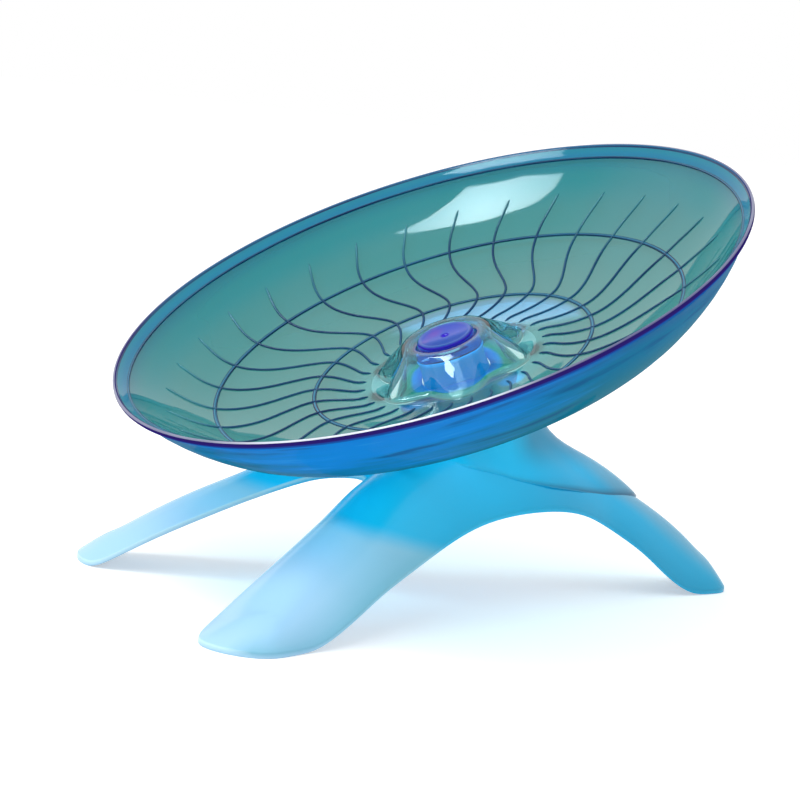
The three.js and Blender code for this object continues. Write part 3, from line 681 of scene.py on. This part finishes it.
def shell_zone(radius, height):
    """Which of the shell's materials lies at a radius and a height."""
    if radius > RIM_RADIUS - 0.75 and height > -0.45:
        return CREST
    if radius > RIM_RADIUS - 0.85 and height > -2.2:
        return VIOLET
    if radius > RIM_RADIUS - 1.35 and height > -1:
        return LINE
    if radius < WELL_RADIUS + 1 and height < HUB_TOP - 2.3:
        return WELL
    if radius > LIP_LINE_RADIUS and height > inner_height(min(radius, LIP_START)) - 0.3:
        return BAND
    if radius < LOBE_RADIUS + 1.2:
        return HUB
    return OUTER if height < inner_height(radius) - 0.6 else INNER


def make_shell():
    """The clear shell is one spun section. The bell's rings are then swollen into lobes."""
    profile, outside, inside = shell_profile()
    bm = spun(profile, DISH_STEPS, zone=shell_zone)
    for vert in bm.verts:
        angle = math.atan2(vert.co.y, vert.co.x)
        radius = math.hypot(vert.co.x, vert.co.y)
        level = level_key(vert.co.z)
        if radius > LOBE_RADIUS + 1 or radius < WELL_OUTSIDE + 0.2:
            continue
        if level in outside and radius < HUB_TOP_RADIUS + PLAIN_FLARE + 0.1:
            reach = lobed(angle, *outside[level])
        elif level in inside:
            reach = lobed(angle, *inside[level])
        else:
            continue
        vert.co.x, vert.co.y = reach * math.cos(angle), reach * math.sin(angle)
    piece("dish_shell", bm, dish_place, SHELL, "saucer", ("dish",))


def rib_point(radius):
    share = (radius - RIB_FROM) / (RIB_TO - RIB_FROM)
    angle = (RIB_PHASE + along_table(RIB_SWING, share)) * DEG
    return Vector((radius * math.cos(angle), radius * math.sin(angle), inner_height(radius)
                   + RIB_LIFT))


def make_ribs():
    """One rib is a section drawn along its path; it is then copied round the dish."""
    points = [rib_point(RIB_FROM + (RIB_TO - RIB_FROM) * k / RIB_STEPS)
              for k in range(RIB_STEPS + 1)]
    turns = [TURN * k / RIB_SIDES for k in range(RIB_SIDES)]
    up = Vector((0, 0, RIB_HEIGHT))
    rings = []
    for k, point in enumerate(points):
        ahead = points[min(k + 1, RIB_STEPS)] - points[max(k - 1, 0)]
        across = Vector((-ahead.y, ahead.x, 0)).normalized() * RIB_HALF_WIDTH
        taper = RIB_END if k in (0, RIB_STEPS) else 1
        rings.append([point + (across * math.cos(turn) + up * math.sin(turn)) * taper
                      for turn in turns])
    bm = through_rings(rings)
    ends = [edge for edge in bm.edges if edge.is_boundary]
    bmesh.ops.holes_fill(bm, edges=ends, sides=RIB_SIDES)
    bmesh.ops.recalc_face_normals(bm, faces=bm.faces)
    bmesh.ops.spin(bm, geom=bm.verts[:] + bm.edges[:] + bm.faces[:], cent=(0, 0, 0),
                   axis=(0, 0, 1), angle=TURN * (RIB_COUNT - 1) / RIB_COUNT, steps=RIB_COUNT - 1,
                   use_duplicate=True)
    bmesh.ops.recalc_face_normals(bm, faces=bm.faces)
    piece("floor_ribs", bm, dish_place, (rib_navy,), "saucer")


def make_ring(name, radius, half_width):
    """A raised line that runs all the way round, with a shallow groove along its top."""
    level = inner_height(radius) - LINE_SINK
    profile = [(radius + half_width * out, level + LINE_HEIGHT * up) for out, up in LINE_SECTION]

    def groove(at, height):
        return int(abs(at - radius) < half_width * 0.31 and height > level + LINE_HEIGHT * 0.5)

    bm = spun(profile, DISH_STEPS, zone=groove)
    piece(name, bm, dish_place, (ring_navy, band_clear), "saucer")


def make_web():
    """The thin clear floor that closes the bell from below, round the cup."""
    rings = []
    for share, level in ((0, 0), (1, 0), (1, -WEB_WALL), (0, -WEB_WALL)):
        ring = []
        for k in range(DISH_STEPS):
            angle = TURN * k / DISH_STEPS
            reach = WEB_HOLE + (lobed(angle, 1, -HUB_WALL / 2) - WEB_HOLE) * share
            ring.append(Vector((reach * math.cos(angle), reach * math.sin(angle), WEB_TOP + level)))
        rings.append(ring)
    bm = through_rings(rings + rings[:1])
    weld(bm, 0.001)
    piece("hub_web", bm, dish_place, (web_green,), "saucer")


def make_cap():
    """The press-in cap: a dimple, a flat top with a raised edge, and a skirt."""
    top = HUB_TOP + CAP_RISE
    skirt = WELL_RADIUS + PRESS_FIT
    profile = [(0, top - 1.1), (0.4, top - 1.05), (0.85, top - 0.6), (1.15, top - 0.36),
               (1.6, top - 0.3), (CAP_RADIUS - 1.1, top - 0.28), (CAP_RADIUS - 0.8, top - 0.05),
               (CAP_RADIUS - 0.6, top), (CAP_RADIUS - 0.25, top), (CAP_RADIUS - 0.05, top - 0.12),
               (CAP_RADIUS, top - 0.35), (skirt, top - 0.8), (skirt, top - 2.95),
               (skirt - 0.1, top - 3.1), (CAP_RADIUS - 1.2, top - 3.1),
               (CAP_RADIUS - 1.2, top - 1.6), (0, top - 1.6)]
    bm = spun(profile, CAP_STEPS, closed=False)
    piece("cap_disc", bm, dish_place, (cap_violet,), "saucer", ("hub_cap",))


# Sizes of the stand in millimetres
LEG_REACH = 104.0
NEAR_REACH = 108.0
REAR_REACH = 102.0
LEG_SPREAD = 27.5
CROWN = 47.0
FRONT_HALF_WIDTH = 14.0
REAR_HALF_WIDTH = 12.0
HUB_HALF_WIDTH = 21.0
NOTCH_REACH = 33.0
SHEET = 2.6
EDGE = 1.5
TOE_POWER = 1.15

# Each leg by stations: distance from the middle, crown height, then height and half width of
# the low edge on the left and on the right, as shares of the reach, the crown and the width
NEAR_LEG = ((0.404, 0.84, 0.368, 0.964, 0.621, 0.9), (0.51, 0.713, 0.302, 0.943, 0.525, 0.829),
            (0.596, 0.602, 0.247, 0.929, 0.44, 0.85), (0.673, 0.515, 0.181, 0.921, 0.351, 0.907),
            (0.75, 0.417, 0.098, 0.857, 0.255, 0.993), (0.827, 0.306, 0.006, 0.7, 0.144, 1.121),
            (0.894, 0.202, 0, 0.571, 0.046, 1.221))
FAR_LEG = ((0.404, 0.84, 0.666, 0.9, 0.596, 0.93), (0.51, 0.713, 0.557, 0.857, 0.511, 0.9),
           (0.596, 0.602, 0.464, 0.857, 0.426, 0.87), (0.673, 0.515, 0.372, 0.857, 0.34, 0.86),
           (0.75, 0.417, 0.279, 0.857, 0.251, 0.86), (0.827, 0.306, 0.179, 0.857, 0.16, 0.86),
           (0.894, 0.202, 0.079, 0.8, 0.064, 0.82))
REAR_LEG = ((0.346, 0.83, 0.62, 1.15, 0.543, 1.25), (0.442, 0.77, 0.6, 0.92, 0.453, 1.03),
            (0.519, 0.706, 0.55, 0.8, 0.368, 1), (0.596, 0.63, 0.47, 0.73, 0.275, 0.975),
            (0.673, 0.545, 0.38, 0.7, 0.153, 0.94), (0.74, 0.465, 0.29, 0.7, 0.062, 0.917),
            (0.808, 0.37, 0.19, 0.7, 0, 0.892), (0.875, 0.255, 0.09, 0.7, 0, 0.85))
# The edge between the legs, as shares. The arches have X, half width, near and far height. The
# notch has X, Y and height
ARCH = ((-0.192, 1.31, 0.468, 0.57), (-0.077, 1.12, 0.543, 0.59), (0.038, 1, 0.581, 0.6),
        (0.144, 0.93, 0.596, 0.6), (0.25, 0.833, 0.587, 0.587))
NOTCH = ((-1.1, -0.183, 0.68), (-1.026, -0.096, 0.691), (-1, 0, 0.694), (-1.026, 0.096, 0.691),
         (-1.1, 0.183, 0.68))
# Rows of the sheet, by the share of the way from the spine to the edge
SHEET_ROWS = (0, 0.3, 0.6, 0.85, 0.95, 0.985, 1)
FLANK_SHADE_POWER = 4
EDGE_POWER = 6
EDGE_HIGHLIGHT = 0.8
TOE_STEPS = 6
TOE_ROUNDNESS = 0.8
ARCH_POWER = 1.9
NOTCH_POWER = 2.0
# How far each front toe slants, and the bend of each leg's right and left side
FAR_TOE_SLOPE = 0.1
NEAR_TOE_SLOPE = 0.15
REAR_BEND = (2.8, 2.2)
FAR_BEND = (2, 2)
NEAR_BEND = (2, 1.9)


def leg_samples(direction, rows, half_width, reach, slope, powers):
    """Places round one leg, from its right edge over the toe to its left. Each has the edge
    point, its height, the spine point, the crown, the bend's power and whether it is the toe."""
    direction = Vector(direction)
    across = Vector((-direction.y, direction.x))
    samples = []

    def at(distance, offset):
        return direction * distance + across * offset

    def side(row, sign):
        height, width = (row[2], row[3]) if sign > 0 else (row[4], row[5])
        distance = row[0] * LEG_REACH
        samples.append((at(distance, sign * width * half_width), height * CROWN, at(distance, 0),
                        row[1] * CROWN, powers[1] if sign > 0 else powers[0], False))

    for row in rows:
        side(row, -1)
    start, crown, _, left, _, right = rows[-1]
    tip = reach - start * LEG_REACH
    offset = (left - right) * half_width / 2
    half = (left + right) * half_width / 2
    for k in range(1, TOE_STEPS):
        share = k / TOE_STEPS
        sine = math.sin(share * math.pi) ** TOE_ROUNDNESS
        cosine = abs(math.cos(share * math.pi)) ** TOE_ROUNDNESS
        side_way = -half * math.copysign(1, math.cos(share * math.pi)) * cosine
        power = (powers[0] * (1 - share) + powers[1] * share) * (1 - sine) + TOE_POWER * sine
        edge = at(start * LEG_REACH + tip * sine - slope * side_way * sine, offset + side_way)
        samples.append((edge, 0, at(start * LEG_REACH, 0), crown * CROWN, power, True))
    for row in reversed(rows):
        side(row, 1)
    return samples


def sheet_samples():
    """Places all round the sheet: rear leg, far arch, far leg, notch, near leg, near arch."""
    middle = Vector((0, 0))
    spread = LEG_SPREAD * DEG

    def arch(sign, rows):
        return [(Vector((x * LEG_REACH, sign * y * HUB_HALF_WIDTH)),
                 (far if sign > 0 else near) * CROWN, middle, CROWN, ARCH_POWER, False)
                for x, y, near, far in rows]

    notch = [(Vector((x * NOTCH_REACH, -y * NOTCH_REACH)), z * CROWN, middle, CROWN, NOTCH_POWER,
              False) for x, y, z in NOTCH]
    return (leg_samples((1, 0), REAR_LEG, REAR_HALF_WIDTH, REAR_REACH, 0, REAR_BEND)
            + arch(1, ARCH[::-1])
            + leg_samples((-math.cos(spread), math.sin(spread)), FAR_LEG, FRONT_HALF_WIDTH,
                          LEG_REACH, FAR_TOE_SLOPE, FAR_BEND)
            + notch
            + leg_samples((-math.cos(spread), -math.sin(spread)), NEAR_LEG, FRONT_HALF_WIDTH,
                          NEAR_REACH, NEAR_TOE_SLOPE, NEAR_BEND)
            + arch(-1, ARCH))


def place_key(point):
    return tuple(round(value, 2) for value in point)


def mark_points(bm, **marks):
    """Writes numbers on the points of a skin, by name and place. Points without one have 0."""
    for name, values in marks.items():
        layer = bm.verts.layers.float.new(name)
        for vert in bm.verts:
            vert[layer] = values.get(place_key(vert.co), 0)


def stand_piece(name, bm, rounds):
    """A piece of the stand, rounded off by subdivision."""
    made = piece(name, bm, stand_place, (stand_cyan,), "base", ("stand",))
    round_off = made.modifiers.new("round", "SUBSURF")
    round_off.levels = round_off.render_levels = rounds


def make_legs():
    """The three legs: a bent sheet with solid toes."""
    samples = sheet_samples()
    top, under = [], []
    for share in SHEET_ROWS:
        ring, low = [], []
        for edge, edge_height, spine, crown, power, toe in samples:
            place = spine.lerp(edge, share)
            height = crown - (crown - edge_height - EDGE) * share**power
            wall = SHEET - (SHEET - EDGE) * share**EDGE_POWER
            floor = 0 if toe and share > 0 else max(height - wall, 0)
            ring.append(Vector((place.x, place.y, height)))
            low.append(Vector((place.x, place.y, floor)))
        top.append(ring)
        under.insert(0, low)
    bm = through_rings(top + under)
    weld(bm, 0.02)
    # Painted light marks: a highlight along the edge between the front legs, and shade on the near
    # flanks growing towards the edge
    edge_line, flank = {}, {}
    for k, rim in enumerate(top[-1]):
        if abs(rim.y) < -rim.x * math.tan(LEG_SPREAD * DEG):
            edge_line[place_key(rim)] = EDGE_HIGHLIGHT
            continue
        for share, ring in zip(SHEET_ROWS, top):
            if ring[k].y < 0:
                flank[place_key(ring[k])] = share**FLANK_SHADE_POWER
    mark_points(bm, edge_line=edge_line, flank=flank, crease={})
    stand_piece("stand_legs", bm, 2)


# Where the neck's skin lies on the sheet, on one side, from the rear tip round to the front:
# share of the way round, then of the reach along X, of the hub's half width and of the crown
CREASE = ((0, 0.637, 0, 0.587), (0.06, 0.6, 0.157, 0.609), (0.13, 0.51, 0.329, 0.632),
          (0.21, 0.425, 0.448, 0.653), (0.3, 0.317, 0.61, 0.696), (0.39, 0.214, 0.719, 0.73),
          (0.48, 0.144, 0.738, 0.757), (0.56, 0.079, 0.733, 0.781), (0.64, 0.022, 0.7, 0.813),
          (0.74, -0.107, 0.667, 0.862), (0.82, -0.173, 0.571, 0.896), (0.91, -0.212, 0.333, 0.915),
          (1, -0.226, 0, 0.87))
# Rings of that skin, from the cup down to the crease: how far each has gone outwards and how
# far down, first on the rear ridge and then on the sides and the front
SKIN = ((0.12, 0.08, 0.1, 0.16), (0.26, 0.24, 0.2, 0.33), (0.37, 0.42, 0.31, 0.5),
        (0.45, 0.53, 0.43, 0.65), (0.56, 0.61, 0.56, 0.78), (0.7, 0.7, 0.7, 0.88),
        (0.86, 0.84, 0.85, 0.95), (0.95, 0.94, 0.95, 0.985), (1, 1, 1, 1))
CREASE_STEP = 0.6
CUP_RADIUS = 9.5
CUP_BORE = 8.3
CUP_TOP = -22.2
CUP_EDGE = 0.25
CUP_SHELF = -28.3
NUT_BOTTOM = -32.6
SHELF_RADIUS = 6.4
HOLLOW_RADIUS = 12.0
# Rings of the hollow under the bearing, as shares of the pivot's drop, the tilt and the radius.
# None reaches below the floor, which falls by a step from ring to ring
HOLLOW = ((1.5, 0, 1), (1.3, 0, 1), (1.12, 0, 0.95), (1, 0.4, 0.78), (0.88, 0.8, 0.62))
HOLLOW_FLOOR = 37.5
HOLLOW_STEP = 0.1
NECK_COLUMNS = 60
CREASE_SHADE_POWER = 1.2
# How dark the painted shade is on the last three rings of the skin, in the crease
CREASE_SHADE_MARKS = (0.08, 0.3, 1)


def tilted(height, tilt, radius):
    """A ring about the spin axis, as a list of points in the stand's frame."""
    centre = leaning() @ Vector((0, 0, height + PIVOT_DROP))
    centre.z += pivot.z / MM
    turns = [TURN * k / NECK_COLUMNS for k in range(NECK_COLUMNS)]
    return [leaning(tilt) @ Vector((radius * math.cos(turn), radius * math.sin(turn), 0)) + centre
            for turn in turns]


def rearness(k):
    """How far a column of the neck faces the rear leg, from 0 to 1."""
    return 0.5 + 0.5 * math.cos(TURN * k / NECK_COLUMNS)


def crease_points():
    """Where the neck's skin ends on the sheet."""
    points = []
    for k in range(NECK_COLUMNS):
        turn = 2 * k / NECK_COLUMNS
        x, y, z = (along_table([(row[0], row[column]) for row in CREASE], min(turn, 2 - turn))
                   for column in (1, 2, 3))
        side = -HUB_HALF_WIDTH if turn > 1 else HUB_HALF_WIDTH
        points.append(Vector((x * LEG_REACH, y * side, z * CROWN)))
    return points


def make_neck():
    """The round cup, and a skin that flares out over the sheet with a ridge down the rear leg."""
    foot = tilted(NUT_BOTTOM, 1, CUP_RADIUS)
    crease = crease_points()
    skin = []
    for rear_out, rear_down, side_out, side_down in SKIN:
        ring = []
        for k, (high, low) in enumerate(zip(foot, crease)):
            rear = rearness(k) ** 2
            out = rear_out * rear + side_out * (1 - rear)
            down = rear_down * rear + side_down * (1 - rear)
            point = high.lerp(low, out)
            point.z = high.z + (low.z - high.z) * down + CREASE_STEP * rear * down
            ring.append(point)
        skin.append(ring)
    sunk = [point - Vector((0, 0, SHEET / 2)) for point in crease]
    hollow = []
    for k, (down, tilt, share) in enumerate(HOLLOW):
        ring = tilted(-PIVOT_DROP * down, tilt, share * HOLLOW_RADIUS)
        lowest = HOLLOW_FLOOR - HOLLOW_STEP * k
        hollow.append([Vector((point.x, point.y, max(point.z, lowest))) for point in ring])
    outside = [tilted(CUP_TOP, 1, CUP_RADIUS - CUP_EDGE), tilted(CUP_TOP - CUP_EDGE, 1, CUP_RADIUS),
               tilted(CUP_SHELF, 1, CUP_RADIUS), foot]
    inside = [tilted(NUT_BOTTOM, 1, SHELF_RADIUS), tilted(CUP_SHELF - 0.2, 1, SHELF_RADIUS),
              tilted(CUP_SHELF, 1, SHELF_RADIUS + 0.2), tilted(CUP_SHELF, 1, CUP_BORE - 0.1),
              tilted(CUP_SHELF + 0.2, 1, CUP_BORE), tilted(CUP_TOP - CUP_EDGE, 1, CUP_BORE),
              tilted(CUP_TOP, 1, CUP_BORE + CUP_EDGE)]
    rings = outside + skin + [skin[-1], sunk] + hollow + inside
    bm = through_rings(rings + rings[:1])
    weld(bm, 0.01)
    # Painted shade in the crease, strongest towards the rear leg
    marks = {place_key(point): strength * rearness(k) ** CREASE_SHADE_POWER
             for strength, ring in zip(CREASE_SHADE_MARKS, skin[-3:])
             for k, point in enumerate(ring)}
    mark_points(bm, edge_line={}, flank={}, crease=marks)
    stand_piece("stand_neck", bm, 1)


make_shell()
make_ribs()
for number, ring_radius in enumerate(RING_RIBS, 1):
    make_ring(f"ring_rib_{number}", ring_radius, RING_HALF_WIDTH)
make_ring("lip_line", LIP_LINE_RADIUS, LIP_LINE_HALF_WIDTH)
make_web()
make_cap()
make_legs()
make_neck()

# The pieces kept from the solids, with their materials
KEPT = {
    "pivot_screw": zinc, "spacer_collar": zinc, "pivot_washer": zinc, "lock_nut": zinc,
    "bearing_inner_race": bearing_steel, "bearing_outer_race": bearing_steel,
    "bearing_shield_upper": bearing_steel, "bearing_shield_lower": bearing_steel,
    "bearing_cage": cage_nylon,
}
for number in range(1, 8):
    KEPT[f"bearing_ball_{number}"] = ball_steel
for node, material in KEPT.items():
    kept = bpy.data.objects[node]
    kept.data.materials.clear()
    kept.data.materials.append(material)

# Camera at the photograph's angle, placed from the rim as it was solved
CAMERA_PLACE = Vector((-341.54, -489.03, 140.52))
CAMERA_RIGHT = Vector((0.82645, -0.54914, 0.12418))
CAMERA_DOWN = Vector((0.02314, -0.18724, -0.98204))
CAMERA_AHEAD = Vector((0.56253, 0.81448, -0.14204))
SOLVED_RIM = Vector((0, 0, 89.03))
LENS_LENGTH = 99
SENSOR_WIDTH = 36


def make_camera():
    lens = bpy.data.cameras.new("camera")
    lens.lens = LENS_LENGTH
    lens.sensor_width = SENSOR_WIDTH
    camera = new_object("camera", lens)
    place = rim_centre + (CAMERA_PLACE - SOLVED_RIM) * MM
    facing = Matrix((CAMERA_RIGHT, -CAMERA_DOWN, -CAMERA_AHEAD)).transposed()
    camera.matrix_world = Matrix.Translation(place) @ facing.to_4x4()
    bpy.context.scene.camera = camera


# Studio: pale floor, white surroundings, soft lamps and a window that the wall mirrors
WHITE = (1, 1, 1, 1)
FLOOR_GREY = (0.78, 0.78, 0.78, 1)
FLOOR_GLOW = 0.42
FLOOR_SIZE = 6
WORLD_LIGHT = 0.725
WORLD_SEEN = 1.0
WINDOW_MIDDLE = Vector((-0.65, 0.10, 0.78))
WINDOW_TARGET = Vector((0.035, 0.045, 0.105))
WINDOW_LONG_WAY = Vector((-0.29, 0.48, -0.34))
WINDOW_SIZE = (0.6, 0.25)
WINDOW_POWER = 3.6
WINDOW_TINT = (0.7, 0.92, 1, 1)
WINDOW_REACH = 0.3
WINDOW_BRIGHT = 26
WINDOW_DIM = 13
# The panel's corners in millimetres, along the window's long side and then its short one
WINDOW_CORNERS = ((-320, -61), (-247, -62), (-126, -68), (-1, -91), (107, -92), (213, -100),
                  (280, -72), (337, -6), (170, 93), (-54, 146), (-95, 107), (-189, 14))


def floor_material():
    """Pale grey that glows a little for the camera, so that it stays near white."""
    finish = Finish("studio_floor", Roughness=1, Specular_IOR_Level=0, Base_Color=FLOOR_GREY)
    glow = finish.node("Emission", Color=WHITE,
                       Strength=finish.math("MULTIPLY", finish.seen(), FLOOR_GLOW))
    finish.surface(finish.node("AddShader", finish.shader.outputs[0], glow.outputs[0]).outputs[0])
    return finish.material


def make_floor():
    bm = bmesh.new()
    bmesh.ops.create_grid(bm, x_segments=2, y_segments=2, size=FLOOR_SIZE)
    floor = mesh_object("floor", bm, (floor_material(),))


def make_world():
    """White as far as it shows, but dimmer as a light."""
    world = bpy.data.worlds.new("studio")
    bpy.context.scene.world = world
    world.use_nodes = True
    sky = Nodes(world.node_tree)
    strength = sky.span(sky.seen(), 0, 1, WORLD_LIGHT, WORLD_SEEN)
    sky.feed_named(sky.nodes["Background"], {"Color": WHITE, "Strength": strength})


def add_sun(name, place, strength, spread):
    data = bpy.data.lights.new(name, "SUN")
    data.energy = strength
    data.angle = spread * DEG
    lamp = new_object(name, data)
    lamp.rotation_euler = (-Vector(place)).to_track_quat("-Z", "Y").to_euler()
    lamp.visible_glossy = False


def window_place():
    """Where the bright window stands, with its long side first and its face to the dish."""
    back = (WINDOW_MIDDLE - WINDOW_TARGET).normalized()
    side = (WINDOW_LONG_WAY - back * back.dot(WINDOW_LONG_WAY)).normalized()
    facing = Matrix((side, back.cross(side), back)).transposed()
    return Matrix.Translation(WINDOW_MIDDLE) @ facing.to_4x4()


def add_window_light():
    data = bpy.data.lights.new("window_light", "AREA")
    data.shape = "RECTANGLE"
    data.size, data.size_y = WINDOW_SIZE
    data.energy = WINDOW_POWER
    lamp = new_object("window_light", data)
    lamp.matrix_world = window_place()
    lamp.visible_glossy = False


def make_window_panel():
    """The window as the plastic mirrors it: brighter in the middle, seen by reflections only."""
    finish = Finish("window_glow")
    away = finish.measure("DISTANCE", finish.place, WINDOW_MIDDLE)
    strength = finish.span(away, 0, WINDOW_REACH, WINDOW_BRIGHT, WINDOW_DIM)
    finish.surface(finish.node("Emission", Color=WINDOW_TINT, Strength=strength).outputs[0])
    bm = bmesh.new()
    bm.faces.new([bm.verts.new((u * MM, v * MM, 0)) for u, v in WINDOW_CORNERS])
    bmesh.ops.transform(bm, matrix=window_place(), verts=bm.verts)
    panel = mesh_object("window_panel", bm, (finish.material,))
    panel.visible_camera = panel.visible_diffuse = panel.visible_transmission = False
    panel.visible_shadow = panel.visible_volume_scatter = False


make_camera()
make_floor()
make_world()
add_sun("key", (-0.6, -0.4, 1.0), 0.8, 30)
add_sun("fill", (0.7, -0.8, 0.6), 0.25, 60)
add_window_light()
make_window_panel()

scene = bpy.context.scene
scene.view_settings.view_transform = "Standard"
